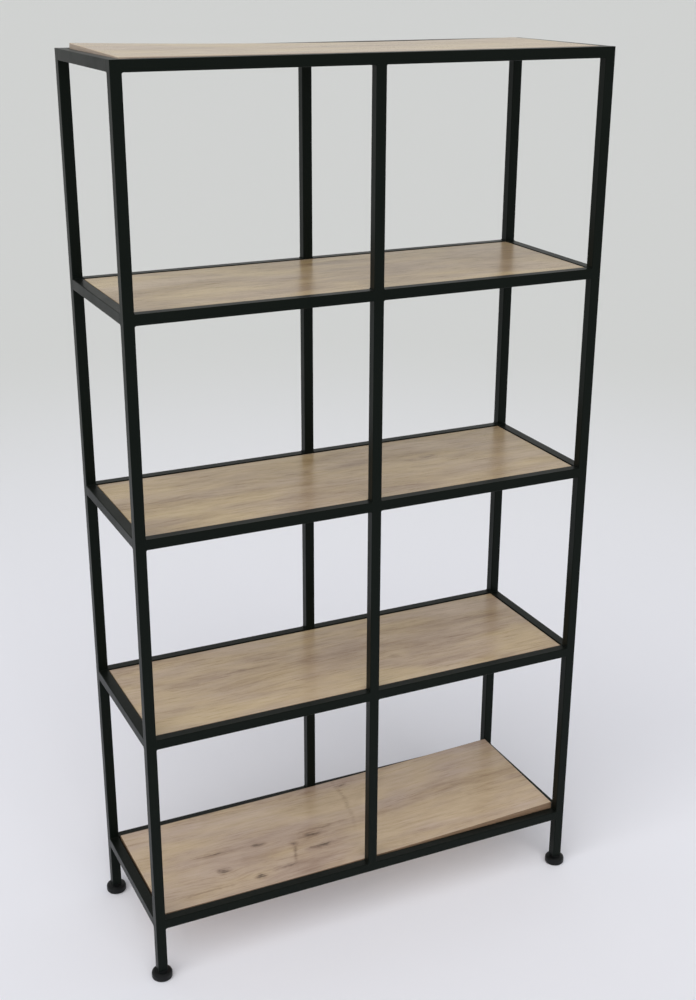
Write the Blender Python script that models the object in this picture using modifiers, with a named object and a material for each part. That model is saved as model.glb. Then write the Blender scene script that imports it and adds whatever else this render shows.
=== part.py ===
"""Open metal shelf: a welded square-tube frame that carries five boards on levelling feet.

Metres, +Z up. The origin is on the floor, under the middle of the shelf. X runs along
the width, and the front is at -Y. Run with: blender --background --python part.py
"""

import math

import bmesh
import bpy
from mathutils import Matrix, Vector

# Overall sizes of the frame, over the faces of the posts
width = 0.96
depth = 0.34
height = 1.78
bottom_ring_top = 0.14

# Square tube of the posts and rails
tube_size = 0.020
tube_wall = 0.0015
tube_outer_corner = 0.0016
tube_inner_corner = 0.0005
corner_steps = 3

# Clearance between pieces that touch or are welded
touch_gap = 0.0003

# Boards
board_thickness = 0.016
board_side_gap = 0.002
board_edge_round = 0.0006
board_edge_steps = 2
# Warped boards: how far they stand up from their seats at both ends and in the middle, first
# along the front edge and then along the rear one
board_rise = {
    "bottom": {"left": (0.0, 0.0040), "middle": (0.0005, 0.0075), "right": (0.0135, 0.0195)},
    "top": {"left": (0.0020, 0.0090), "middle": (0.0, 0.0), "right": (0.0005, 0.0015)},
}
bend_steps = 24
# The loose board that has slid against the right side rail
slid_board = "bottom"

# Flat bars under the boards: a ledge on each side rail and a strap across the middle,
# and how far each ring's bars lie above the underside of its rails
flat_bar_thickness = 0.002
ledge_width = 0.015
ledge_weld_depth = 0.001
strap_width = 0.020
flat_bar_lift = {"bottom": 0.0017, "lower": 0.0002, "middle": 0.0002, "upper": 0.0007, "top": 0.0017}

# Levelling feet: a round pad on a stem that screws into a ribbed plug
pad_radius = 0.021
pad_height = 0.0185
pad_foot_round = 0.0045
pad_crown_round = 0.0065
pad_neck_radius = 0.0115
pad_floor = 0.003
pad_arc_steps = 5
stem_radius = 0.004
stem_length = 0.040
stem_tip_chamfer = 0.0008
plug_flange = 0.002
plug_length = 0.024
plug_core = 0.0132
plug_rib_thickness = 0.0018
plug_rib_count = 4
stem_clearance = 0.0003
turned_steps = 32
bore_steps = 24

# Plates that close the tops of the corner posts
cap_thickness = 0.0015

# Cutters reach past what they cut by this much
overrun = 0.002

MERGE = 0.00001

level_names = ("bottom", "lower", "middle", "upper", "top")
side_signs = {"left": -1, "right": 1}
face_signs = {"front": -1, "rear": 1}


def level_tops():
    """Height of each ring's upper face: evenly spaced from the bottom ring to the top."""
    pitch = (height - bottom_ring_top) / (len(level_names) - 1)
    return {name: bottom_ring_top + pitch * i for i, name in enumerate(level_names)}


def clear_scene():
    for old in list(bpy.data.objects):
        bpy.data.objects.remove(old, do_unlink=True)


def new_collection(name):
    made = bpy.data.collections.new(name)
    bpy.context.scene.collection.children.link(made)
    return made


def make_material(name, colour, roughness, metallic):
    made = bpy.data.materials.new(name)
    made.use_nodes = True
    shader = made.node_tree.nodes["Principled BSDF"]
    shader.inputs["Base Color"].default_value = (*colour, 1.0)
    shader.inputs["Roughness"].default_value = roughness
    shader.inputs["Metallic"].default_value = metallic
    made.diffuse_color = (*colour, 1.0)
    return made


def add_object(name, mesh, collection, material=None):
    made = bpy.data.objects.new(name, mesh)
    collection.objects.link(made)
    if material:
        made.data.materials.append(material)
    return made


def rounded_rectangle(size_x, size_y, radius):
    """Outline of a rectangle about the origin, whose corners are arcs."""
    points = []
    for turn, (sx, sy) in enumerate(((1, 1), (-1, 1), (-1, -1), (1, -1))):
        centre = Vector((sx * (size_x / 2 - radius), sy * (size_y / 2 - radius)))
        for step in range(corner_steps + 1):
            angle = math.pi / 2 * (turn + step / corner_steps)
            points.append(centre + radius * Vector((math.cos(angle), math.sin(angle))))
    return points


def extruded_mesh(name, outlines, length):
    """Mesh of flat outlines, the inner ones holes, carried along Z and centred on the origin."""
    curve = bpy.data.curves.new(name, "CURVE")
    curve.dimensions = "2D"
    curve.fill_mode = "BOTH"
    curve.extrude = length / 2
    for outline in outlines:
        spline = curve.splines.new("POLY")
        spline.points.add(len(outline) - 1)
        for point, place in zip(spline.points, outline):
            point.co = (place[0], place[1], 0, 1)
        spline.use_cyclic_u = True
    guide = bpy.data.objects.new(name, curve)
    bpy.context.scene.collection.objects.link(guide)
    seen = guide.evaluated_get(bpy.context.evaluated_depsgraph_get())
    mesh = bpy.data.meshes.new_from_object(seen)
    bpy.data.objects.remove(guide, do_unlink=True)
    bpy.data.curves.remove(curve)
    work = bmesh.new()
    work.from_mesh(mesh)
    bmesh.ops.remove_doubles(work, verts=work.verts, dist=MERGE)
    bmesh.ops.recalc_face_normals(work, faces=work.faces)
    work.to_mesh(mesh)
    work.free()
    return mesh


def round_shading(made):
    made.data.shade_smooth()
    made.data.set_sharp_from_angle(angle=math.radians(30))


def tube_between(name, start, end):
    """A length of square tube between two points on its centre line, along X, Y or Z."""
    start, end = Vector(start), Vector(end)
    outer = rounded_rectangle(tube_size, tube_size, tube_outer_corner)
    bore = tube_size - 2 * tube_wall
    inner = rounded_rectangle(bore, bore, min(tube_inner_corner, bore / 2))
    made = add_object(name, extruded_mesh(name, (outer, inner), (end - start).length), parts, steel)
    made.rotation_euler = (end - start).to_track_quat("Z", "Y").to_euler()
    made.location = (start + end) / 2
    round_shading(made)
    return made


def turned_object(name, profile, steps, collection, material=None):
    """A profile of (radius, height) points, listed down its outer side, turned about Z."""
    mesh = bpy.data.meshes.new(name)
    edges = [(i, i + 1) for i in range(len(profile) - 1)]
    mesh.from_pydata([(radius, 0, z) for radius, z in profile], edges, [])
    made = add_object(name, mesh, collection, material)
    screw = made.modifiers.new("Turn", "SCREW")
    screw.steps = steps
    screw.render_steps = steps
    screw.use_merge_vertices = True
    screw.merge_threshold = MERGE
    return made


def arc(centre, radius, from_degrees, to_degrees, steps):
    """Points of an arc in a profile: angle 0 points outwards and 90 points up."""
    angles = [from_degrees + (to_degrees - from_degrees) * i / steps for i in range(steps + 1)]
    return [
        (centre[0] + radius * math.cos(math.radians(a)), centre[1] + radius * math.sin(math.radians(a)))
        for a in angles
    ]


def post_centres(side_names, face_names):
    """Centre line of each corner post, by its name."""
    places = {}
    for face in face_names:
        for side in side_names:
            x = side_signs[side] * (width - tube_size) / 2
            y = face_signs[face] * (depth - tube_size) / 2
            places[f"{face}_{side}"] = (x, y)
    return places


def make_corner_post(name, x, y):
    """A post from just above its foot to the top, with a plate let into its upper end."""
    base = pad_height + touch_gap + plug_flange + touch_gap
    tube_between(f"post_{name}", (x, y, base), (x, y, height))
    inset = tube_size - 2 * tube_wall - 2 * touch_gap
    outline = rounded_rectangle(inset, inset, tube_inner_corner)
    mesh = extruded_mesh("top_plate", (outline,), cap_thickness)
    plate = add_object(f"post_{name}_top_plate", mesh, parts, steel)
    plate.location = (x, y, height - cap_thickness / 2)


def make_centre_posts():
    """A front and a rear post that stand on the bottom ring and end under the top ring."""
    low = tops["bottom"] + touch_gap
    high = tops["top"] - tube_size - touch_gap
    for face, sign in face_signs.items():
        y = sign * (depth - tube_size) / 2
        tube_between(f"post_{face}_centre", (0, y, low), (0, y, high))


def make_ring(level):
    """The four sides of one ring. Rails end on the posts, with room for the weld."""
    z = tops[level] - tube_size / 2
    end_x = width / 2 - tube_size - touch_gap
    end_y = depth / 2 - tube_size - touch_gap
    for face, sign in face_signs.items():
        y = sign * (depth - tube_size) / 2
        name = f"{level}_{face}_rail"
        if level in ("bottom", "top"):
            tube_between(name, (-end_x, y, z), (end_x, y, z))
        else:
            near_x = tube_size / 2 + touch_gap
            tube_between(f"{name}_left", (-end_x, y, z), (-near_x, y, z))
            tube_between(f"{name}_right", (near_x, y, z), (end_x, y, z))
    for side, sign in side_signs.items():
        x = sign * (width - tube_size) / 2
        rail = tube_between(f"{level}_{side}_rail", (x, -end_y, z), (x, end_y, z))
        weld_ledge(rail, level, sign, end_y)


def flat_bar_base(level):
    """Height of the underside of the flat bars in one ring."""
    return tops[level] - tube_size + flat_bar_lift[level]


def flat_bar(name, outline, level, collection, material=None):
    """A flat bar that lies just under the board of one ring."""
    mesh = extruded_mesh(name, (outline,), flat_bar_thickness)
    bar = add_object(name, mesh, collection, material)
    bar.location.z = flat_bar_base(level) + flat_bar_thickness / 2
    return bar


def weld_ledge(rail, level, sign, end_y):
    """Welds a flat bar to a side rail's inner face. It carries the board's end, and it stops
    just short of the rail's own ends."""
    face_x = width / 2 - tube_size
    end_y = end_y - touch_gap
    near_x = sign * (face_x + ledge_weld_depth)
    far_x = sign * (face_x - ledge_width)
    outline = ((near_x, end_y), (far_x, end_y), (far_x, -end_y), (near_x, -end_y))
    ledge = flat_bar(f"{rail.name}_ledge", outline, level, cutters)
    use_tool(rail, ledge, "UNION")


def make_strap(level):
    """A flat bar from front to rear, under the middle of the board."""
    half = strap_width / 2
    reach = depth / 2 - tube_size - touch_gap
    outline = ((half, reach), (-half, reach), (-half, -reach), (half, -reach))
    flat_bar(f"{level}_cross_strap", outline, level, parts, steel)


def warp_height(length_share, breadth_share, rises):
    """Lift of a warped board, by shares that run from -1 to 1, left to right and front to rear.
    Along the length it is a parabola through the heights at the ends and in the middle."""
    left, middle, right = (
        front + (rear - front) * (breadth_share + 1) / 2
        for front, rear in (rises["left"], rises["middle"], rises["right"])
    )
    return middle + (right - left) / 2 * length_share + ((right + left) / 2 - middle) * length_share**2


def make_board(level):
    """A laminated board, flat on its seats, or warped so that parts of it stand up."""
    length = width - 2 * tube_size - 2 * board_side_gap
    breadth = depth - 2 * tube_size - 2 * board_side_gap
    work = bmesh.new()
    bmesh.ops.create_cube(work, size=1)
    bmesh.ops.scale(work, vec=(length, breadth, board_thickness), verts=work.verts)
    rises = board_rise.get(level)
    if rises:
        along = [e for e in work.edges if abs(e.verts[0].co.x - e.verts[1].co.x) > length / 2]
        bmesh.ops.subdivide_edges(work, edges=along, cuts=bend_steps - 1, use_grid_fill=True)
        for vert in work.verts:
            vert.co.z += warp_height(vert.co.x / (length / 2), vert.co.y / (breadth / 2), rises)
    mesh = bpy.data.meshes.new(f"{level}_board")
    work.to_mesh(mesh)
    work.free()
    board = add_object(f"{level}_board", mesh, parts, laminate)
    board.location.z = flat_bar_base(level) + flat_bar_thickness + touch_gap + board_thickness / 2
    if level == slid_board:
        board.location.x = board_side_gap - touch_gap
    bevel = board.modifiers.new("Eased edges", "BEVEL")
    bevel.width = board_edge_round
    bevel.segments = board_edge_steps
    bevel.limit_method = "ANGLE"
    bevel.angle_limit = math.radians(60)


def pad_profile():
    """Half section of the pad, from its stem socket over the crown and down to the floor."""
    socket = stem_radius + stem_clearance
    crown_z = pad_height - pad_crown_round
    return [
        (0, pad_floor),
        (socket, pad_floor),
        (socket, pad_height),
        (pad_neck_radius, pad_height),
        *arc((pad_radius - pad_crown_round, crown_z), pad_crown_round, 75, 0, pad_arc_steps),
        *arc((pad_radius - pad_foot_round, pad_foot_round), pad_foot_round, 0, -90, pad_arc_steps),
        (0, 0),
    ]


def stem_profile():
    """Half section of the stem, with a chamfer at its tip."""
    low = pad_floor + stem_clearance
    return [
        (0, low + stem_length),
        (stem_radius - stem_tip_chamfer, low + stem_length),
        (stem_radius, low + stem_length - stem_tip_chamfer),
        (stem_radius, low),
        (0, low),
    ]


def make_foot(name, x, y):
    """A pad and its stem, which screw in and out of the post along its centre line."""
    axis = bpy.data.objects.new(f"foot_{name}_axis", None)
    axis.location = (x, y, 0)
    parts.objects.link(axis)
    pad = turned_object(f"foot_{name}_pad", pad_profile(), turned_steps, parts, black_plastic)
    stem = turned_object(f"foot_{name}_stem", stem_profile(), bore_steps, parts, zinc)
    for made in (pad, stem):
        made.parent = axis
        round_shading(made)


def make_plug(name, x, y):
    """A ribbed plastic plug in the post's end, with a flange outside and a bore for the stem."""
    bore = tube_size - 2 * tube_wall
    flange_low = pad_height + touch_gap
    body_low = flange_low + plug_flange
    core = rounded_rectangle(plug_core, plug_core, tube_inner_corner)
    body = extruded_mesh("plug_core", (core,), plug_length)
    body.transform(Matrix.Translation((0, 0, body_low + plug_length / 2)))
    plug = add_object(f"foot_{name}_plug", body, parts, black_plastic)
    plug.location = (x, y, 0)

    rib_size = bore - 2 * touch_gap
    rib_outline = rounded_rectangle(rib_size, rib_size, tube_inner_corner)
    rib_space = (plug_length - plug_rib_thickness) / plug_rib_count
    for i in range(plug_rib_count):
        low = body_low + rib_space * (i + 1)
        join_plate(plug, f"rib_{i + 1}", rib_outline, plug_rib_thickness, low)
    flange_outline = rounded_rectangle(tube_size, tube_size, tube_outer_corner)
    join_plate(plug, "flange", flange_outline, plug_flange, flange_low)

    low = flange_low - overrun
    high = body_low + plug_length + overrun
    radius = stem_radius + stem_clearance
    cutter = turned_object(
        f"foot_{name}_bore", [(0, high), (radius, high), (radius, low), (0, low)], bore_steps, cutters
    )
    cutter.location = (x, y, 0)
    use_tool(plug, cutter, "DIFFERENCE")


def join_plate(made, name, outline, thickness, low):
    """Unites a flat plate, centred on the piece's own axis, with the piece."""
    added = add_object(f"{made.name}_{name}", extruded_mesh(name, (outline,), thickness), cutters)
    added.location = (made.location.x, made.location.y, low + thickness / 2)
    use_tool(made, added, "UNION")


def use_tool(made, tool, operation):
    """Cuts a piece with a tool or unites it with one, and hides the tool."""
    tool.hide_render = True
    tool.display_type = "WIRE"
    boolean = made.modifiers.new(tool.name, "BOOLEAN")
    boolean.operation = operation
    boolean.solver = "EXACT"
    boolean.object = tool


clear_scene()
parts = new_collection("metal_shelf")
cutters = new_collection("cutters")

steel = make_material("black_powder_coated_steel", (0.012, 0.012, 0.013), 0.42, 0.0)
laminate = make_material("oak_look_laminate", (0.46, 0.37, 0.26), 0.55, 0.0)
black_plastic = make_material("black_plastic", (0.010, 0.010, 0.011), 0.50, 0.0)
zinc = make_material("zinc_plated_steel", (0.62, 0.62, 0.60), 0.35, 1.0)

tops = level_tops()
corners = post_centres(side_signs, face_signs)

for corner, (x, y) in corners.items():
    make_corner_post(corner, x, y)
    make_foot(corner, x, y)
    make_plug(corner, x, y)
make_centre_posts()
for level in level_names:
    make_ring(level)
    make_strap(level)
    make_board(level)
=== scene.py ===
"""Metal shelf: the finish of a welded black tube frame, its oak-look boards and its levelling feet.

Metres, +Z up, the front at -Y. The posts, rails, straps and boards are the fixed frame's own
solids with better finishes. Welds, edge bands and the visible parts of the feet are made here.
"""

import math

import bmesh
import bpy
import numpy as np
from mathutils import Matrix, Vector


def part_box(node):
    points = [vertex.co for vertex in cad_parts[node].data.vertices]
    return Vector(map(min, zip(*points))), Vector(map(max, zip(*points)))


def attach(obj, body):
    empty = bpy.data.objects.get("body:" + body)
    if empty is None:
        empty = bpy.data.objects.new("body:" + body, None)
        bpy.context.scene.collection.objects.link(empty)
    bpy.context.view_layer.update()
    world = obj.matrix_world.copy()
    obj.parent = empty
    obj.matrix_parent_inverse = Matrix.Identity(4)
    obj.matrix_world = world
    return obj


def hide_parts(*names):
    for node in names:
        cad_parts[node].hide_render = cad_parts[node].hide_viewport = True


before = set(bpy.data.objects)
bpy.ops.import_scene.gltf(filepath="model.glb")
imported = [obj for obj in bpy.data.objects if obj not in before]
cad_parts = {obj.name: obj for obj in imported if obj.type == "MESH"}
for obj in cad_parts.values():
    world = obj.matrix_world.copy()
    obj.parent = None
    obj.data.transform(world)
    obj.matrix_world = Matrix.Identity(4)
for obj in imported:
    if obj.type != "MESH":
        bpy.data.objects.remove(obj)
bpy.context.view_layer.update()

# Camera
# It stands to the left of the shelf at eye height and looks down on it, as the photograph was
# taken. Place, turn and lens come from the edges of the posts and rails in the 696 x 1000 frame.
camera_place = Vector((-1.14065, -2.44611, 1.93105))
camera_turn = 0.44042
camera_dip = 0.37128
camera_roll = 0.00317
focal_pixels = 1423.88
centre_pixel = (344.905, 511.623)
photo_pixels = (696, 1000)
sensor_width = 36.0
farthest_seen = 300.0

forward = Vector((
    math.sin(camera_turn) * math.cos(camera_dip),
    math.cos(camera_turn) * math.cos(camera_dip),
    -math.sin(camera_dip),
))
level_right = forward.cross(Vector((0, 0, 1))).normalized()
level_up = level_right.cross(forward)
right = math.cos(camera_roll) * level_right + math.sin(camera_roll) * level_up
up = math.cos(camera_roll) * level_up - math.sin(camera_roll) * level_right
camera_data = bpy.data.cameras.new("photograph_camera")
camera_data.sensor_width = sensor_width
camera_data.lens = focal_pixels * sensor_width / max(photo_pixels)
camera_data.shift_x = (photo_pixels[0] / 2 - centre_pixel[0]) / max(photo_pixels)
camera_data.shift_y = (centre_pixel[1] - photo_pixels[1] / 2) / max(photo_pixels)
camera_data.clip_end = farthest_seen
camera = bpy.data.objects.new("photograph_camera", camera_data)
camera_axes = Matrix((right, up, -forward)).transposed()
camera.matrix_world = Matrix.Translation(camera_place) @ camera_axes.to_4x4()
bpy.context.scene.collection.objects.link(camera)
bpy.context.scene.camera = camera


# Studio
# A wide pale floor that greys a little with distance, a white sky that is brighter low down, and
# one very broad soft lamp to the front left. The sky shows as the grey of the far floor.
floor_half_size = 150.0
floor_near = (0.850, 0.850, 0.896, 1)
floor_far = (0.672, 0.677, 0.660, 1)
floor_fade_from = 0.9
floor_fade_to = 5.0
sky_seen = (0.642, 0.648, 0.630, 1)
sky_light = (0.975, 0.990, 1.015, 1)
sky_low_strength = 1.12
sky_high_strength = 0.38
sky_high_from = 0.6
lamp_strength = 3.1
lamp_spread = math.radians(95)
lamp_from = Vector((-0.70, -0.95, 0.62))


def add_node(tree, kind, settings=None, inputs=None):
    """Adds a shader node. An input is a plain value, or a socket that is linked to it."""
    node = tree.nodes.new(kind)
    for key, value in (settings or {}).items():
        setattr(node, key, value)
    for key, value in (inputs or {}).items():
        if isinstance(value, bpy.types.NodeSocket):
            tree.links.new(value, node.inputs[key])
        else:
            node.inputs[key].default_value = value
    return node


def new_finish(name, metallic=0.0, specular=0.5):
    """A material with one Principled shader. Returns the material, its tree, the shader and the
    node that gives coordinates on the object."""
    finish = bpy.data.materials.new(name)
    finish.use_nodes = True
    tree = finish.node_tree
    shader = tree.nodes["Principled BSDF"]
    shader.inputs["Metallic"].default_value = metallic
    shader.inputs["Specular IOR Level"].default_value = specular
    place = add_node(tree, "ShaderNodeTexCoord")
    return finish, tree, shader, place


def arithmetic(tree, operation, *values, clamp=False):
    """One Math node on sockets or numbers. Returns its result."""
    settings = {"operation": operation, "use_clamp": clamp}
    return add_node(tree, "ShaderNodeMath", settings, dict(enumerate(values))).outputs[0]


def vector_arithmetic(tree, operation, *values):
    """One Vector Math node on sockets or triples. Returns a number for LENGTH, else a vector."""
    settings = {"operation": operation}
    node = add_node(tree, "ShaderNodeVectorMath", settings, dict(enumerate(values)))
    return node.outputs["Value" if operation == "LENGTH" else "Vector"]


def remap(tree, value, from_min, from_max, to_min=0.0, to_max=1.0, shape="LINEAR"):
    """A Map Range node. Returns its result."""
    inputs = {"Value": value, "From Min": from_min, "From Max": from_max, "To Min": to_min, "To Max": to_max}
    return add_node(tree, "ShaderNodeMapRange", {"interpolation_type": shape}, inputs).outputs[0]


def mixed(tree, share, colour_a, colour_b, blend="MIX"):
    """A Mix node on sockets or colours, whose sockets 0, 6 and 7 are the share and the two
    colours. Returns its result."""
    settings = {"data_type": "RGBA", "blend_type": blend}
    inputs = {0: share, 6: colour_a, 7: colour_b}
    return add_node(tree, "ShaderNodeMix", settings, inputs).outputs[2]


floor_mesh = bpy.data.meshes.new("floor")
floor_corners = floor_half_size * np.array([(-1, -1, 0), (1, -1, 0), (1, 1, 0), (-1, 1, 0)])
floor_mesh.from_pydata(floor_corners.tolist(), [], [(0, 1, 2, 3)])
floor = bpy.data.objects.new("floor", floor_mesh)
bpy.context.scene.collection.objects.link(floor)
floor_finish, floor_tree, floor_shader, floor_place = new_finish("pale_floor", specular=0.0)
away = vector_arithmetic(floor_tree, "LENGTH", floor_place.outputs["Object"])
fade = remap(floor_tree, away, floor_fade_from, floor_fade_to, shape="SMOOTHSTEP")
floor_tree.links.new(mixed(floor_tree, fade, floor_near, floor_far), floor_shader.inputs["Base Color"])
floor_shader.inputs["Roughness"].default_value = 1.0
floor_mesh.materials.append(floor_finish)

world = bpy.data.worlds.new("white_sky")
world.use_nodes = True
bpy.context.scene.world = world
sky = world.node_tree
ray = add_node(sky, "ShaderNodeLightPath")
looked_at = arithmetic(sky, "ADD", ray.outputs["Is Camera Ray"], ray.outputs["Is Glossy Ray"])
seen = arithmetic(sky, "ADD", looked_at, ray.outputs["Is Transmission Ray"], clamp=True)
way = add_node(sky, "ShaderNodeTexCoord").outputs["Generated"]
height = add_node(sky, "ShaderNodeSeparateXYZ", None, {0: way}).outputs["Z"]
sky_strength = remap(sky, height, 0.0, sky_high_from, sky_low_strength, sky_high_strength)
lighting = add_node(sky, "ShaderNodeBackground", None, {"Color": sky_light, "Strength": sky_strength})
backdrop = add_node(sky, "ShaderNodeBackground", None, {"Color": sky_seen, "Strength": 1.0})
sky_inputs = {0: seen, 1: lighting.outputs[0], 2: backdrop.outputs[0]}
either = add_node(sky, "ShaderNodeMixShader", None, sky_inputs)
sky.links.new(either.outputs[0], sky.nodes["World Output"].inputs["Surface"])

lamp_data = bpy.data.lights.new("soft_lamp", "SUN")
lamp_data.energy = lamp_strength
lamp_data.angle = lamp_spread
lamp = bpy.data.objects.new("soft_lamp", lamp_data)
lamp.rotation_euler = lamp_from.to_track_quat("Z", "Y").to_euler()
lamp.visible_glossy = False
bpy.context.scene.collection.objects.link(lamp)
bpy.context.scene.view_settings.view_transform = "Standard"


# Posts, rails, straps and top plates
# Twenty-millimetre square steel tube and flat bar, welded and then powder-coated in one go. The
# coat is a deep satin black with a faint orange peel. Upward faces are paler, partly from a trace
# of dust and partly from a painted sheen.
coat_black = (0.0017, 0.0028, 0.0021, 1)
coat_worn = (0.0034, 0.0047, 0.0038, 1)
coat_dust_and_sheen = (0.050, 0.047, 0.042, 1)
dust_and_sheen_share = 0.10
coat_specular = 0.10
coat_tint = (0.86, 1.0, 0.90, 1)
coat_roughness = (0.32, 0.43)
# How much a face has to look up to hold dust and painted sheen
upward_range = (0.7, 1.0)
# Each noise: cells a metre, detail, roughness. Each range: where the noise begins and ends to count
smear_noise = (9.0, 5.0, 0.6)
smear_range = (0.3, 0.7)
dust_and_sheen_noise = (140.0, 6.0, 0.7)
dust_and_sheen_range = (0.35, 0.7)
peel_noise = (620.0, 2.0, 0.45)
peel_strength = 0.6
peel_depth = 0.00006


def cloudy(tree, point, scale, detail, roughness=0.6):
    """Noise with cells of 1/scale metres. Returns its value socket."""
    inputs = {"Vector": point, "Scale": scale, "Detail": detail, "Roughness": roughness}
    return add_node(tree, "ShaderNodeTexNoise", None, inputs).outputs["Fac"]


def link_finish(tree, shader, colour, gloss, height, strength, depth):
    """Links colour and roughness, and a bump from a height field, to the shader."""
    inputs = {"Height": height, "Strength": strength, "Distance": depth}
    bump = add_node(tree, "ShaderNodeBump", None, inputs)
    tree.links.new(colour, shader.inputs["Base Color"])
    tree.links.new(gloss, shader.inputs["Roughness"])
    tree.links.new(bump.outputs[0], shader.inputs["Normal"])


def powder_coat():
    """Satin black: slow noise shifts the gloss and the black, fine noise is the orange peel, and upward
    faces are paler with dust and painted sheen.
    """
    finish, tree, shader, place = new_finish("satin_black_powder_coat", specular=coat_specular)
    shader.inputs["Specular Tint"].default_value = coat_tint
    point = place.outputs["Object"]
    smear = cloudy(tree, point, *smear_noise)
    black = mixed(tree, smear, coat_black, coat_worn)
    facing = add_node(tree, "ShaderNodeSeparateXYZ", None, {0: place.outputs["Normal"]})
    # Upward faces are lightened: partly a trace of dust, partly a painted sheen
    upward = remap(tree, facing.outputs["Z"], *upward_range, 0.0, dust_and_sheen_share)
    patches = remap(tree, cloudy(tree, point, *dust_and_sheen_noise), *dust_and_sheen_range)
    dust_and_sheen = arithmetic(tree, "MULTIPLY", upward, patches)
    colour = mixed(tree, dust_and_sheen, black, coat_dust_and_sheen)
    gloss = remap(tree, smear, *smear_range, *coat_roughness)
    peel = cloudy(tree, point, *peel_noise)
    link_finish(tree, shader, colour, gloss, peel, peel_strength, peel_depth)
    return finish


def finish_nodes(names, finish):
    """Gives CAD nodes a finish in place of the plain one that they came with."""
    for name in names:
        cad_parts[name].data.materials.clear()
        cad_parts[name].data.materials.append(finish)


black_coat = powder_coat()
posts = sorted(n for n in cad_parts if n.startswith("post_") and not n.endswith("plate"))
top_plates = sorted(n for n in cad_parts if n.endswith("top_plate"))
straps = sorted(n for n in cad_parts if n.endswith("cross_strap"))
side_rails = sorted(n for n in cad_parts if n.endswith(("left_rail", "right_rail")))
long_rails = sorted(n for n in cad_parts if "_front_rail" in n or "_rear_rail" in n)
finish_nodes(posts + top_plates + straps + side_rails + long_rails, black_coat)


# Welds
# Each rail is welded all round to its post before coating. Where faces lie flush the seam is
# ground down and only just shows; in the inner corners a rippled bead is left as it was laid.
tube_half = 0.010
tube_corner = 0.0016
weld_leg = 0.0016
bead_rise = 0.0005
bead_ripple = 0.00025
ripple_pitch = 0.0017
ground_rise = 0.0001
weld_sink = 0.00015
weld_root = 0.0007
seam_side_steps = 26
seam_corner_steps = 5
bead_steps = 6
merge_distance = 1e-6
sharp_from = math.radians(40)


def rounded_rectangle(half_sizes, radius, side_steps, corner_steps):
    """A rectangle with round corners, as arrays: points, outward normals and, for each point, how
    much it belongs to each of the sides +a, +b, -a and -b."""
    points, normals, belongs = [], [], []
    for side in range(4):
        turn = side * math.pi / 2
        out = np.array([round(math.cos(turn)), round(math.sin(turn))])
        along = np.array([-out[1], out[0]])
        reach = abs(out @ half_sizes)
        straight = abs(along @ half_sizes) - radius
        t = (2 * np.arange(side_steps) / side_steps - 1)[:, None]
        points.append(reach * out + t * straight * along)
        normals.append(np.repeat(out[None], side_steps, 0))
        own = np.zeros((side_steps, 4))
        own[:, side] = 1
        belongs.append(own)
        bend = np.arange(corner_steps) / corner_steps
        around = turn + bend * math.pi / 2
        radial = np.stack([np.cos(around), np.sin(around)], 1)
        points.append((reach - radius) * out + straight * along + radius * radial)
        normals.append(radial)
        shared = np.zeros((corner_steps, 4))
        shared[:, side] = 1 - bend
        shared[:, (side + 1) % 4] = bend
        belongs.append(shared)
    return np.concatenate(points), np.concatenate(normals), np.concatenate(belongs)


def bead_grid(seam, to_a, to_b, rise_way, sink_b, rise):
    """A bead along a closed seam. Its section runs from seam + to_a to seam + to_b in a bow of
    height rise, and closes through a root below the seam."""
    t = np.linspace(0, 1, bead_steps + 1)[None, :, None]
    bow = 4 * t * (1 - t)
    start = seam + to_a - weld_sink * rise_way
    end = seam + to_b + sink_b
    skin = (1 - t) * start[:, None] + t * end[:, None] + bow * (rise[:, None, None] * rise_way[:, None])
    root = (seam - weld_root * rise_way)[:, None]
    return np.concatenate([skin, root], 1)


def closed_object(name, grids, finish, body):
    """One object from grids of points, each joined round in both directions, faces outward."""
    vertices, faces, start = [], [], 0
    for grid in grids:
        rows, columns = grid.shape[:2]
        index = start + np.arange(rows * columns).reshape(rows, columns)
        right_of, below = np.roll(index, -1, 1), np.roll(index, -1, 0)
        corner = np.roll(below, -1, 1)
        quads = np.stack([index, right_of, corner, below], -1).reshape(-1, 4)
        flat = grid.reshape(-1, 3)
        a, b, c, d = (flat[quads[:, i] - start] for i in range(4))
        volume = np.einsum("ij,ij->", a, np.cross(b, c)) + np.einsum("ij,ij->", a, np.cross(c, d))
        faces.append(quads if volume > 0 else quads[:, ::-1])
        vertices.append(flat)
        start += rows * columns
    mesh = bpy.data.meshes.new(name)
    mesh.from_pydata(np.concatenate(vertices).tolist(), [], np.concatenate(faces).tolist())
    work = bmesh.new()
    work.from_mesh(mesh)
    bmesh.ops.remove_doubles(work, verts=work.verts, dist=merge_distance)
    work.to_mesh(mesh)
    work.free()
    mesh.shade_smooth()
    mesh.set_sharp_from_angle(angle=sharp_from)
    mesh.materials.append(finish)
    piece = bpy.data.objects.new(name, mesh)
    bpy.context.scene.collection.objects.link(piece)
    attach(piece, body)
    return piece


def corners_of(name):
    """Lowest and highest corner of a node, as arrays."""
    return [np.array(corner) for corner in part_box(name)]


def holds(names, point):
    """True where a point lies inside the box of one of these nodes."""
    for name in names:
        low, high = corners_of(name)
        if np.all(point > low) and np.all(point < high):
            return True
    return False


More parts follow.
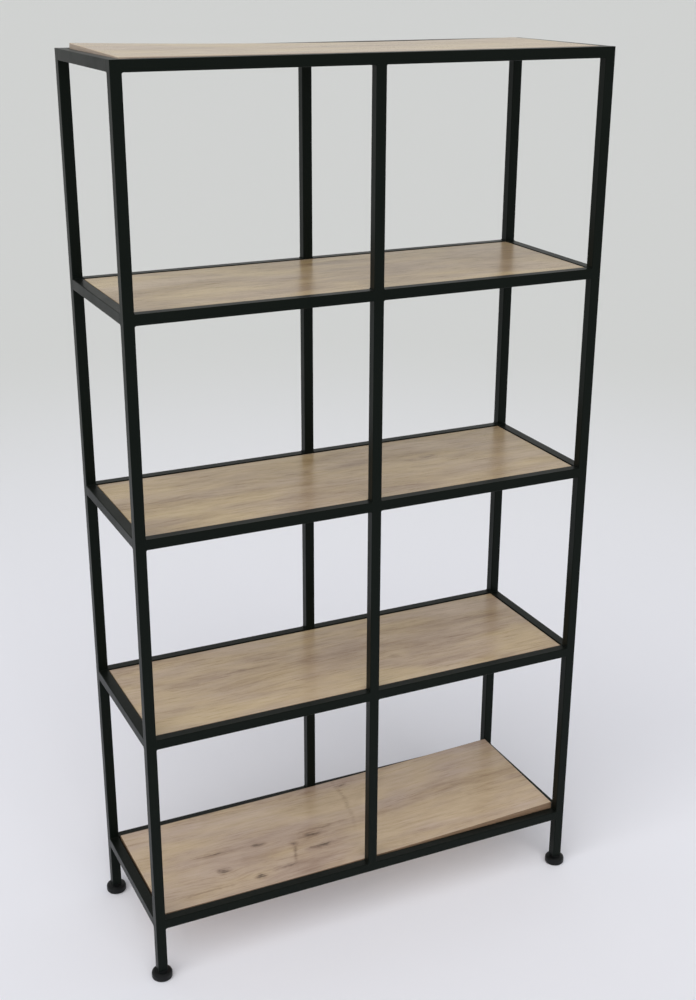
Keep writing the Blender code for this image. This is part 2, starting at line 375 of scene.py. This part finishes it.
def weld_round(name, axis, end, neighbours):
    """The weld round one end of a tube, end being -1 or 1 along the axis. A side is an inner
    corner where a neighbour stands past its face, and else it is a seam ground flush."""
    low, high = corners_of(name)
    centre = (low + high) / 2
    out = np.zeros(3)
    out[axis] = end
    centre[axis] = high[axis] if end > 0 else low[axis]
    if axis != 2:
        centre[2] = high[2] - tube_half
        cross = 1 - axis
        centre[cross] = high[cross] - tube_half if high[cross] > 0 else low[cross] + tube_half
    across = np.roll(np.abs(out), 1)
    beside = np.cross(out, across)
    points, normals, belongs = rounded_rectangle(
        (tube_half, tube_half), tube_corner, seam_side_steps, seam_corner_steps,
    )
    inner = np.zeros(4)
    for side, way in enumerate((across, beside, -across, -beside)):
        probe = centre + way * (tube_half + weld_leg) + out * weld_leg
        inner[side] = holds([n for n in neighbours if n != name], probe)
    corner_share = (belongs @ inner)[:, None]
    seam = centre + points[:, :1] * across + points[:, 1:] * beside + out * weld_sink * 2
    normal = normals[:, :1] * across + normals[:, 1:] * beside
    to_b = corner_share * normal + (1 - corner_share) * out
    to_b = to_b / np.linalg.norm(to_b, axis=1, keepdims=True)
    rise_way = normal - corner_share * out
    rise_way = rise_way / np.linalg.norm(rise_way, axis=1, keepdims=True)
    run = np.cumsum(np.linalg.norm(np.roll(points, -1, 0) - points, axis=1))
    ripple = bead_ripple * np.cos(2 * math.pi * run / ripple_pitch)
    share = corner_share[:, 0]
    rise = share * (bead_rise + ripple) + (1 - share) * ground_rise
    sink_b = weld_sink * (corner_share * out - (1 - corner_share) * normal)
    to_a = -weld_leg * np.repeat(out[None], len(seam), 0)
    return bead_grid(seam, to_a, weld_leg * to_b, rise_way, sink_b, rise)


levels = ("bottom", "lower", "middle", "upper", "top")
centre_posts = ["post_front_centre", "post_rear_centre"]
for level in levels:
    ring_welds = []
    for rail in long_rails:
        if rail.startswith(level):
            ring_welds += [weld_round(rail, 0, end, posts + side_rails) for end in (-1, 1)]
    for rail in side_rails:
        if rail.startswith(level):
            ring_welds += [weld_round(rail, 1, end, posts) for end in (-1, 1)]
    closed_object(f"{level}_ring_welds", ring_welds, black_coat, "root")
post_welds = [weld_round(post, 2, end, long_rails) for post in centre_posts for end in (-1, 1)]
closed_object("centre_post_welds", post_welds, black_coat, "root")


def top_seam(plate):
    """The ground seam round a plate that is let into the top of a post."""
    low, high = corners_of(plate)
    centre = (low + high) / 2
    centre[2] = high[2]
    half = (high[0] - low[0]) / 2 + weld_sink
    points, normals, _ = rounded_rectangle(
        (half, half), tube_corner / 2, seam_side_steps, seam_corner_steps,
    )
    seam = centre + np.pad(points, ((0, 0), (0, 1)))
    outward = np.pad(normals, ((0, 0), (0, 1)))
    up_way = np.repeat([[0.0, 0.0, 1.0]], len(seam), 0)
    rise = np.full(len(seam), ground_rise)
    to_side = weld_leg / 3 * outward
    return bead_grid(seam, to_side, -to_side, up_way, -weld_sink * up_way, rise)


top_seams = [top_seam(plate) for plate in top_plates]
closed_object("post_top_seams", top_seams, black_coat, "root")


# Boards
# Sixteen-millimetre chipboard faced with printed oak, one loose board a ring. The print has soft
# bands, warm and grey patches, fine fibres and pores, and the knots and cracks of the photograph.
# Painted light and shade on the prints: the top board is paler, each print darkens towards the right and the
# rear, and among the bottom board's cracks is a painted shadow of the front centre post.
oak_dark = (0.155, 0.102, 0.062, 1)
oak_brown = (0.335, 0.240, 0.155, 1)
oak_middle = (0.470, 0.363, 0.242, 1)
oak_pale = (0.575, 0.465, 0.328, 1)
knot_brown = (0.090, 0.060, 0.040, 1)
oak_greyed = (0.965, 0.945, 1.020, 1)
oak_warmed = (1.045, 1.020, 0.915, 1)
# Tone runs from 0, where the print is oak_dark, to 1, where it is oak_pale
oak_brown_tone = 0.30
oak_middle_tone = 0.62
plain_tone = 0.56
# Roughness where the noise of the fibres is 0, and what that noise adds
board_roughness = 0.25
fibre_roughness = 0.06
# Height of a pore against that of the fibres
pore_relief = -0.8
relief_strength = 0.5
pore_depth = 0.00005
# Layers of the print: cells a metre along and across, detail, roughness, weight in the tone
print_layers = (
    (1.3, 10.0, 2.0, 0.50, 0.80),
    (5.5, 20.0, 3.0, 0.60, 0.85),
    (14.0, 45.0, 3.0, 0.60, 0.45),
    (16.0, 150.0, 3.0, 0.65, 0.35),
    (14.0, 620.0, 4.0, 0.70, 0.45),
)
# All noise that is drawn out along the grain has this many cells a metre upward
streak_upward = 3.0
# Slow bends of the grain: cells a metre along and across, detail, and reach across in metres
bend_cells = (2.2, 7.0, 1.0)
bend_reach = 0.050
# Rings: their angle in radians a metre across, how far noise shifts it, and weight in the tone
ring_angle = 420.0
ring_bend_cells = (2.0, 5.0, 2.0)
ring_bend_angle = 34.0
ring_weight = 0.018
# Flecks, pores and patches of hue: cells and detail, the range that counts, weight in the tone
fleck_cells = (26.0, 300.0, 2.0)
fleck_range = (0.60, 0.72)
fleck_weight = -0.14
pore_cells = (55.0, 1900.0, 2.0)
pore_range = (0.60, 0.74)
pore_weight = -0.18
hue_cells = (4.5, 15.0, 2.0)
hue_range = (0.38, 0.62)
# Noise that frays the marks and waves the cracks and the painted shadow line: cells a metre, and reach in
# metres
fray_scale = 70.0
fray_reach = (0.026, 0.013, 0)
crack_and_shadow_wave_scale = 22.0
crack_and_shadow_wave_reach = (0.012, 0.0, 0)
nudge_detail = 4.0
# Noise that breaks the marks up: cells and detail, its range, and the shares of darkness there
break_cells = (40.0, 260.0, 3.0)
break_range = (0.33, 0.64)
break_shares = (0.30, 1.20)
# A knot pushes grain aside over these shares of its half sizes, by a share of its half breadth
push_length_share = 2.2
push_breadth_share = 3
push_share = 1.6
# What a mark takes off the tone, and the power of its darkness that lays knot brown over it
mark_weight = 0.60
mark_contrast = 2.2
# Marks on each board: x, y, half length, half breadth, darkness, and how far grain is pushed aside
board_marks = {
    "bottom": (
        (-0.297, -0.064, 0.015, 0.009, 0.90, 1.1),
        (-0.232, -0.112, 0.013, 0.008, 1.00, 1.0),
        (-0.197, -0.009, 0.016, 0.007, 0.78, 1.0),
        (-0.080, -0.021, 0.022, 0.008, 0.78, 1.0),
        (-0.127, -0.036, 0.008, 0.009, 0.75, 0.3),
        (0.063, 0.124, 0.018, 0.010, 0.60, 1.0),
        (-0.287, -0.003, 0.042, 0.007, 0.46, 0.3),
        (-0.176, -0.102, 0.034, 0.005, 0.80, 0.3),
        (-0.042, -0.005, 0.064, 0.004, 0.60, 0.2),
        (-0.074, -0.066, 0.036, 0.006, 0.95, 0.3),
        (-0.350, -0.115, 0.090, 0.003, 0.45, 0.0),
        (-0.200, 0.145, 0.260, 0.030, 0.20, 0.0),
        (0.260, -0.115, 0.240, 0.045, 0.15, 0.0),
    ),
    "lower": (
        (-0.195, 0.031, 0.055, 0.006, 0.45, 0.5),
        (-0.063, 0.014, 0.065, 0.006, 0.36, 0.4),
        (-0.350, 0.020, 0.050, 0.012, 0.22, 0.6),
        (0.197, -0.127, 0.026, 0.006, 0.45, 0.6),
        (0.110, -0.044, 0.010, 0.007, 0.36, 0.8),
    ),
    "middle": (
        (-0.070, 0.041, 0.034, 0.009, 0.50, 0.9),
        (0.217, 0.031, 0.028, 0.009, 0.55, 0.9),
        (0.153, 0.030, 0.020, 0.008, 0.26, 0.7),
        (-0.200, 0.038, 0.030, 0.012, 0.24, 0.7),
        (0.040, 0.044, 0.130, 0.009, 0.20, 0.2),
        (0.100, -0.090, 0.090, 0.006, 0.16, 0.2),
        (-0.200, 0.130, 0.300, 0.040, 0.13, 0.0),
        (0.220, -0.130, 0.300, 0.030, 0.14, 0.0),
    ),
    "upper": (
        (0.045, 0.110, 0.020, 0.010, 0.26, 0.7),
        (-0.120, 0.085, 0.020, 0.010, 0.18, 0.7),
        (0.260, -0.020, 0.060, 0.008, 0.14, 0.4),
    ),
    "top": (
        (-0.250, 0.030, 0.040, 0.007, 0.28, 0.6),
        (0.120, -0.050, 0.012, 0.007, 0.55, 1.0),
        (0.300, 0.060, 0.050, 0.006, 0.28, 0.4),
    ),
}
# Cracks that curve across a board, and the painted shadow of the front centre post on the bottom
# board, drawn the same way: three powers of y that give x, half width, the y where it is darkest,
# how far it reaches from there, and darkness
board_cracks_and_shadow = {
    "bottom": (
        # Painted shadow of the front centre post, running back from its base
        (0.0332, 0.240, -0.90, 0.0062, 0.075, 0.100, 0.44),
        (-0.1114, 0.340, 0.0, 0.0045, -0.066, 0.036, 0.50),
    ),
}
# How pale each board is at its middle, with painted light that makes the top board paler; how the
# painted shade darkens it a metre to the right and to the rear, as light falls from the front left
# and the board above shades the rear; and how much blue its print has
board_tone_and_painted_light = {
    "bottom": (0.040, -0.16, -0.15, 1.08),
    "lower": (0.04, 0.0, -0.25, 1.0),
    "middle": (-0.01, 0.0, -0.12, 0.94),
    "upper": (-0.045, 0.0, -0.18, 0.92),
    "top": (0.18, 0.0, 0.0, 1.0),
}


def streaks(tree, point, along, across, detail=3.0, roughness=0.55):
    """Noise drawn out along X: cells of 1/along by 1/across metres. Returns its value socket."""
    drawn = vector_arithmetic(tree, "MULTIPLY", point, (along, across, streak_upward))
    return cloudy(tree, drawn, 1.0, detail, roughness)


def mark_share(tree, point, x, y, half_length, half_breadth):
    """exp(-d squared), d being the distance from a mark's centre in its own half sizes, and the
    distance's part across the grain."""
    from_centre = vector_arithmetic(tree, "SUBTRACT", point, (x, y, 0))
    scaled = vector_arithmetic(tree, "MULTIPLY", from_centre, (1 / half_length, 1 / half_breadth, 0))
    square = arithmetic(tree, "POWER", vector_arithmetic(tree, "LENGTH", scaled), 2.0)
    parts = add_node(tree, "ShaderNodeSeparateXYZ", None, {0: scaled})
    return arithmetic(tree, "POWER", math.exp(-1), square), parts.outputs["Y"]


def crack_and_shadow_share(tree, point, start, slope, bow, half_width, darkest, reach):
    """exp(-a squared - b squared): a is the distance along X from the curve start + slope y +
    bow y squared in half widths, b the distance along Y from the darkest place in reaches."""
    parts = add_node(tree, "ShaderNodeSeparateXYZ", None, {0: point})
    x, y = parts.outputs["X"], parts.outputs["Y"]
    line = arithmetic(tree, "MULTIPLY_ADD", y, arithmetic(tree, "MULTIPLY_ADD", y, bow, slope), start)
    aside = arithmetic(tree, "DIVIDE", arithmetic(tree, "SUBTRACT", x, line), half_width)
    beyond = arithmetic(tree, "DIVIDE", arithmetic(tree, "SUBTRACT", y, darkest), reach)
    square = arithmetic(tree, "MULTIPLY_ADD", aside, aside, arithmetic(tree, "MULTIPLY", beyond, beyond))
    return arithmetic(tree, "POWER", math.exp(-1), square)


def nudged_point(tree, point, scale, reach):
    """The point, moved by noise with cells of 1/scale metres, up to half the reach each way."""
    inputs = {"Vector": point, "Scale": scale, "Detail": nudge_detail}
    noise = add_node(tree, "ShaderNodeTexNoise", None, inputs)
    centred = vector_arithmetic(tree, "SUBTRACT", noise.outputs["Color"], (0.5, 0.5, 0.5))
    return vector_arithmetic(tree, "MULTIPLY_ADD", centred, reach, point)


def marks_and_bend(tree, point, level):
    """How dark the cracks, the painted shadow line and the marks make each place, frayed and broken
    up by noise, and the Y of the grain there, bent by slow noise and pushed aside by the knots."""
    y_socket = add_node(tree, "ShaderNodeSeparateXYZ", None, {0: point}).outputs["Y"]
    bend = streaks(tree, point, *bend_cells)
    bent = arithmetic(tree, "MULTIPLY_ADD", bend, bend_reach, y_socket)
    frayed = nudged_point(tree, point, fray_scale, fray_reach)
    wavy = nudged_point(tree, point, crack_and_shadow_wave_scale, crack_and_shadow_wave_reach)
    dark = 0.0
    for *curve, darkness in board_cracks_and_shadow.get(level, ()):
        dark_line = arithmetic(tree, "MULTIPLY", crack_and_shadow_share(tree, wavy, *curve), darkness)
        dark = arithmetic(tree, "MAXIMUM", dark, dark_line)
    for x, y, half_length, half_breadth, darkness, push in board_marks[level]:
        share, _ = mark_share(tree, frayed, x, y, half_length, half_breadth)
        dark = arithmetic(tree, "MAXIMUM", dark, arithmetic(tree, "MULTIPLY", share, darkness))
        if push:
            length, breadth = half_length * push_length_share, half_breadth * push_breadth_share
            wide, across = mark_share(tree, point, x, y, length, breadth)
            aside = arithmetic(tree, "MULTIPLY", wide, across)
            bent = arithmetic(tree, "MULTIPLY_ADD", aside, -half_breadth * push_share * push, bent)
    broken = remap(tree, streaks(tree, point, *break_cells), *break_range, *break_shares)
    return arithmetic(tree, "MULTIPLY", dark, broken), bent


def grain_tone(tree, point, bent, level):
    """Tone of the bare grain: the board's own tone with its painted light, and painted shade that
    slopes to the right and to the rear, plus each layer's noise, rings that are a sine of the bent Y,
    flecks and pores. Returns it with the fibres, the finest layer, and the pores."""
    parts = add_node(tree, "ShaderNodeSeparateXYZ", None, {0: point})
    inputs = {0: parts.outputs["X"], 1: bent, 2: parts.outputs["Z"]}
    grain = add_node(tree, "ShaderNodeCombineXYZ", None, inputs).outputs[0]
    tone, shade_to_right, shade_to_rear, _ = board_tone_and_painted_light[level]
    # Painted shade: the tone falls to the right and to the rear of the board
    tone = arithmetic(tree, "MULTIPLY_ADD", parts.outputs["X"], shade_to_right, tone + plain_tone)
    tone = arithmetic(tree, "MULTIPLY_ADD", parts.outputs["Y"], shade_to_rear, tone)
    for *cells, weight in print_layers:
        fibres = streaks(tree, grain, *cells)
        centred = arithmetic(tree, "SUBTRACT", fibres, 0.5)
        tone = arithmetic(tree, "MULTIPLY_ADD", centred, weight, tone)
    ring_bend = arithmetic(tree, "MULTIPLY", streaks(tree, grain, *ring_bend_cells), ring_bend_angle)
    rings = arithmetic(tree, "SINE", arithmetic(tree, "MULTIPLY_ADD", bent, ring_angle, ring_bend))
    tone = arithmetic(tree, "MULTIPLY_ADD", rings, ring_weight, tone)
    flecks = remap(tree, streaks(tree, grain, *fleck_cells), *fleck_range)
    tone = arithmetic(tree, "MULTIPLY_ADD", flecks, fleck_weight, tone)
    pores = remap(tree, streaks(tree, grain, *pore_cells), *pore_range)
    return arithmetic(tree, "MULTIPLY_ADD", pores, pore_weight, tone), fibres, pores


def oak_colour(tree, point, tone, dark, level):
    """The colour at a tone, tinted in grey and warm patches and by the board's share of blue,
    with knot brown laid over the darkest marks."""
    ramp = add_node(tree, "ShaderNodeValToRGB", None, {0: tone})
    first, last = ramp.color_ramp.elements
    first.position, first.color = 0.0, oak_dark
    last.position, last.color = 1.0, oak_pale
    ramp.color_ramp.elements.new(oak_brown_tone).color = oak_brown
    ramp.color_ramp.elements.new(oak_middle_tone).color = oak_middle
    blue = board_tone_and_painted_light[level][-1]
    greyed = (*oak_greyed[:2], oak_greyed[2] * blue, 1)
    warmed = (*oak_warmed[:2], oak_warmed[2] * blue, 1)
    tint = mixed(tree, remap(tree, streaks(tree, point, *hue_cells), *hue_range), greyed, warmed)
    tinted = mixed(tree, 1.0, ramp.outputs["Color"], tint, "MULTIPLY")
    return mixed(tree, arithmetic(tree, "POWER", dark, mark_contrast), tinted, knot_brown)


def oak_print(level):
    """The print of one board. Slow noise bends the grain and each knot pushes it aside. Layers of
    drawn-out noise, rings and pores follow the bent grain, and ragged marks are laid over them."""
    finish, tree, shader, place = new_finish(f"oak_print_{level}")
    point = place.outputs["Object"]
    dark, bent = marks_and_bend(tree, point, level)
    bare, fibres, pores = grain_tone(tree, point, bent, level)
    darkened = arithmetic(tree, "MULTIPLY", dark, mark_weight)
    tone = arithmetic(tree, "SUBTRACT", bare, darkened, clamp=True)
    colour = oak_colour(tree, point, tone, dark, level)
    gloss = arithmetic(tree, "MULTIPLY_ADD", fibres, fibre_roughness, board_roughness)
    relief = arithmetic(tree, "MULTIPLY_ADD", pores, pore_relief, fibres)
    link_finish(tree, shader, colour, gloss, relief, relief_strength, pore_depth)
    return finish


for level in levels:
    finish_nodes([f"{level}_board"], oak_print(level))


# Edge bands
# A light brown band, half a millimetre thick, is glued round each board's edges and trimmed with
# a small round at top and bottom. It follows the boards that have warped.
# The top board's band is a paler copy of the band with painted light; the other bands are the band's brown
# darkened with painted shade.
shaded_band_light = (0.232, 0.152, 0.094, 1)
shaded_band_dark = (0.118, 0.074, 0.044, 1)
lit_band_light = (0.400, 0.320, 0.250, 1)
lit_band_dark = (0.270, 0.210, 0.160, 1)
band_cells = (22.0, 22.0, 900.0)
band_detail = 5.0
band_noise_roughness = 0.65
band_range = (0.3, 0.7)
band_roughness = (0.45, 0.62)
band_relief_strength = 0.4
band_relief_depth = 0.00006
board_thickness = 0.016
band_face = 0.0003
band_lap = 0.0008
band_round = 0.0005
band_lift = 0.00005
band_corner = 0.0006
band_side_steps = 60
band_corner_steps = 4
lip_steps = 5
# Corners of a board count as one place along X where they agree to this many decimals
same_place_digits = 4


def brown_band(name, dark, light):
    """Edge band with streaks along its length, from noise drawn out level."""
    finish, tree, shader, place = new_finish(name)
    drawn = vector_arithmetic(tree, "MULTIPLY", place.outputs["Object"], band_cells)
    grain = cloudy(tree, drawn, 1.0, band_detail, band_noise_roughness)
    colour = mixed(tree, remap(tree, grain, *band_range), dark, light)
    gloss = remap(tree, grain, 0.0, 1.0, *band_roughness)
    link_finish(tree, shader, colour, gloss, grain, band_relief_strength, band_relief_depth)
    return finish


def upper_line(level, face):
    """Heights along the upper front (-1) or rear (1) edge of a board, read off its solid."""
    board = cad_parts[f"{level}_board"]
    places = np.empty(len(board.data.vertices) * 3)
    board.data.vertices.foreach_get("co", places)
    places = places.reshape(-1, 3)
    edge = places[face * places[:, 1] > (face * places[:, 1]).max() - 2 * band_corner]
    x = np.unique(edge[:, 0].round(same_place_digits))
    near = 10.0 ** -same_place_digits
    z = np.array([edge[np.abs(edge[:, 0] - value) < near, 2].max() for value in x])
    return x, z


def edge_band(level):
    """A band round a board: its section is a flat face with rounded lips, carried along the
    board's outline, whose height follows the board's own upper edges."""
    low, high = corners_of(f"{level}_board")
    centre = (low + high) / 2
    points, outward, _ = rounded_rectangle(
        (high - low)[:2] / 2, band_corner, band_side_steps, band_corner_steps,
    )
    ring = centre[:2] + points
    front_z = np.interp(ring[:, 0], *upper_line(level, -1))
    rear_z = np.interp(ring[:, 0], *upper_line(level, 1))
    depth_share = (ring[:, 1] - low[1]) / (high[1] - low[1])
    top_z = front_z + (rear_z - front_z) * depth_share
    bend = np.linspace(math.pi / 2, 0, lip_steps)
    lip_out = band_face - band_round + band_round * np.cos(bend)
    lip_up = band_lift - band_round + band_round * np.sin(bend)
    lip = np.stack([lip_out, lip_up], 1)
    foot = np.stack([lip_out[::-1], -board_thickness - lip_up[::-1]], 1)
    inner = [
        [-band_lap, -board_thickness - band_lift],
        [-band_lap, -board_thickness / 2],
        [-band_lap, band_lift],
    ]
    section = np.concatenate([lip, foot, inner])
    grid = np.empty((len(ring), len(section), 3))
    grid[..., :2] = ring[:, None] + section[None, :, :1] * outward[:, None]
    grid[..., 2] = top_z[:, None] + section[None, :, 1]
    return grid


# Two copies of one band: one darkened with painted shade for the lower boards, one with painted light for
# the top board
shaded_band_finish = brown_band("shaded_brown_edge_band", shaded_band_dark, shaded_band_light)
lit_band_finish = brown_band("lit_pale_edge_band", lit_band_dark, lit_band_light)
for level in levels:
    finish = lit_band_finish if level == "top" else shaded_band_finish
    closed_object(f"{level}_edge_band", [edge_band(level)], finish, "root")


# Levelling feet
# A moulded black pad on a zinc-plated M8 stem, which screws into a ribbed plug in the post. The
# pad has a crowned shoulder, a low hub round the stem and a shallow hollow underneath.
plastic_black = (0.0030, 0.0034, 0.0036, 1)
plastic_scuffed = (0.014, 0.014, 0.015, 1)
plastic_specular = 0.22
plastic_roughness = (0.40, 0.56)
scuff_noise = (260.0, 6.0, 0.7)
scuff_range = (0.45, 0.75)
scuff_gloss_range = (0.3, 0.7)
scuff_height = 0.009
# Share of scuffs at the floor and above the scuffed height
scuff_shares = (0.75, 0.15)
grain_noise = (2600.0, 2.0)
grain_strength = 0.35
grain_depth = 0.00004
zinc_dull = (0.50, 0.50, 0.49, 1)
zinc_bright = (0.70, 0.69, 0.64, 1)
zinc_noise = (300.0, 4.0)
zinc_roughness = (0.26, 0.42)
zinc_strength = 0.2
pad_steps = 96
pad_crown = 0.0065
pad_crown_steps = 16
# The crown's arc starts just short of straight up, outside the flat shoulder
pad_crown_from = 86
pad_foot_round = 0.0045
pad_foot_steps = 9
pad_floor = 0.003
pad_hollow = 0.0004
hub_radius = 0.0112
hub_round = 0.0006
hub_edge_steps = 5
hub_fillet_steps = 4
hub_rise = 0.0009
stem_radius = 0.004
stem_clearance = 0.0003
stem_end_round = 0.0006
thread_pitch = 0.00125
thread_depth = 0.00065
thread_steps = 28
rows_a_turn = 8
# The flank's height in thread depths at the crest, before it is cut flat, and its fall to the root
crest_share = 1.15
flank_fall_share = 1.3


def black_plastic():
    """Moulded plastic with a fine spark-eroded grain and scuffs that gather near the floor."""
    finish, tree, shader, place = new_finish("moulded_black_plastic", specular=plastic_specular)
    point = place.outputs["Object"]
    scuffs = cloudy(tree, point, *scuff_noise)
    above_floor = add_node(tree, "ShaderNodeSeparateXYZ", None, {0: point}).outputs["Z"]
    low_down = remap(tree, above_floor, 0.0, scuff_height, *scuff_shares)
    worn = arithmetic(tree, "MULTIPLY", low_down, remap(tree, scuffs, *scuff_range))
    colour = mixed(tree, worn, plastic_black, plastic_scuffed)
    gloss = remap(tree, scuffs, *scuff_gloss_range, *plastic_roughness)
    grain = cloudy(tree, point, *grain_noise)
    link_finish(tree, shader, colour, gloss, grain, grain_strength, grain_depth)
    return finish


def zinc_plate():
    """Bright zinc with a faint yellow cast that clouds from dull to bright."""
    finish, tree, shader, place = new_finish("zinc_plate", metallic=1.0)
    clouds = cloudy(tree, place.outputs["Object"], *zinc_noise)
    colour = mixed(tree, clouds, zinc_dull, zinc_bright)
    gloss = remap(tree, clouds, 0.0, 1.0, *zinc_roughness)
    link_finish(tree, shader, colour, gloss, clouds, zinc_strength, grain_depth)
    return finish


def turned_grid(profile, x, y, steps):
    """A closed profile of (radius, height) rows carried round a vertical axis at x, y."""
    angles = np.linspace(0, 2 * math.pi, steps, endpoint=False)[:, None]
    radius, z = profile[None, :, 0], profile[None, :, 1]
    return np.stack([x + radius * np.cos(angles), y + radius * np.sin(angles), z + 0 * angles], -1)


def arc(centre_r, centre_z, radius, start, end, count):
    """Points of an arc in a profile, angles in degrees from level outward."""
    angle = np.radians(np.linspace(start, end, count))
    return np.stack([centre_r + radius * np.cos(angle), centre_z + radius * np.sin(angle)], 1)


def pad_profile(radius, height):
    """Section of the pad: bore, hub, crowned shoulder, upright side, rounded foot, hollow base."""
    bore = stem_radius + stem_clearance
    shoulder = height - hub_rise
    sole = radius - pad_foot_round
    return np.concatenate([
        [[bore, pad_floor], [bore, height - pad_hollow], [bore + pad_hollow, height]],
        arc(hub_radius - hub_round, height - hub_round, hub_round, 90, 0, hub_edge_steps),
        arc(hub_radius + hub_round, shoulder + hub_round, hub_round, 180, 270, hub_fillet_steps),
        arc(radius - pad_crown, shoulder - pad_crown, pad_crown, pad_crown_from, 0, pad_crown_steps),
        arc(sole, pad_foot_round, pad_foot_round, 0, -90, pad_foot_steps),
        [[sole - 2 * pad_hollow, 0.0], [sole - 3 * pad_hollow, pad_hollow]],
        [[bore + 5 * pad_hollow, pad_hollow], [bore + 4 * pad_hollow, 0.0], [0.0, 0.0], [0.0, pad_floor]],
    ])


def stem_grid(x, y, low, high):
    """An M8 thread: the radius falls by the depth along each turn's flanks and follows the
    angle round the stem, with plain rounded ends."""
    rows = int((high - low) / thread_pitch * rows_a_turn)
    z = np.linspace(low, high, rows)[None, :]
    angle = np.linspace(0, 2 * math.pi, thread_steps, endpoint=False)[:, None]
    turn = (z / thread_pitch - angle / (2 * math.pi)) % 1.0
    flank = np.clip(crest_share - np.abs(2 * turn - 1) * flank_fall_share, 0, 1)
    fade = np.clip((high - z) / thread_pitch, 0, 1)
    radius = stem_radius - thread_depth * (1 - flank) - stem_end_round * (1 - fade)
    side = np.stack([x + radius * np.cos(angle), y + radius * np.sin(angle), z + 0 * angle], -1)
    upper = np.repeat([[[x, y, high]]], thread_steps, 0)
    lower = np.repeat([[[x, y, low]]], thread_steps, 0)
    return np.concatenate([side, upper, lower], 1)


plastic = black_plastic()
zinc = zinc_plate()
for corner in ("front_left", "front_right", "rear_left", "rear_right"):
    body = f"foot_{corner}"
    low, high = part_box(f"{body}_pad")
    x, y = (low.x + high.x) / 2, (low.y + high.y) / 2
    section = pad_profile((high.x - low.x) / 2, high.z)
    grid = turned_grid(section, x, y, pad_steps)
    pad = closed_object(f"{body}_moulded_pad", [grid], plastic, body)
    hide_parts(f"{body}_pad")
    low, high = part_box(f"{body}_stem")
    grid = stem_grid(x, y, low.z, high.z)
    stem = closed_object(f"{body}_threaded_stem", [grid], zinc, body)
    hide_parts(f"{body}_stem")
    finish_nodes([f"{body}_plug"], plastic)
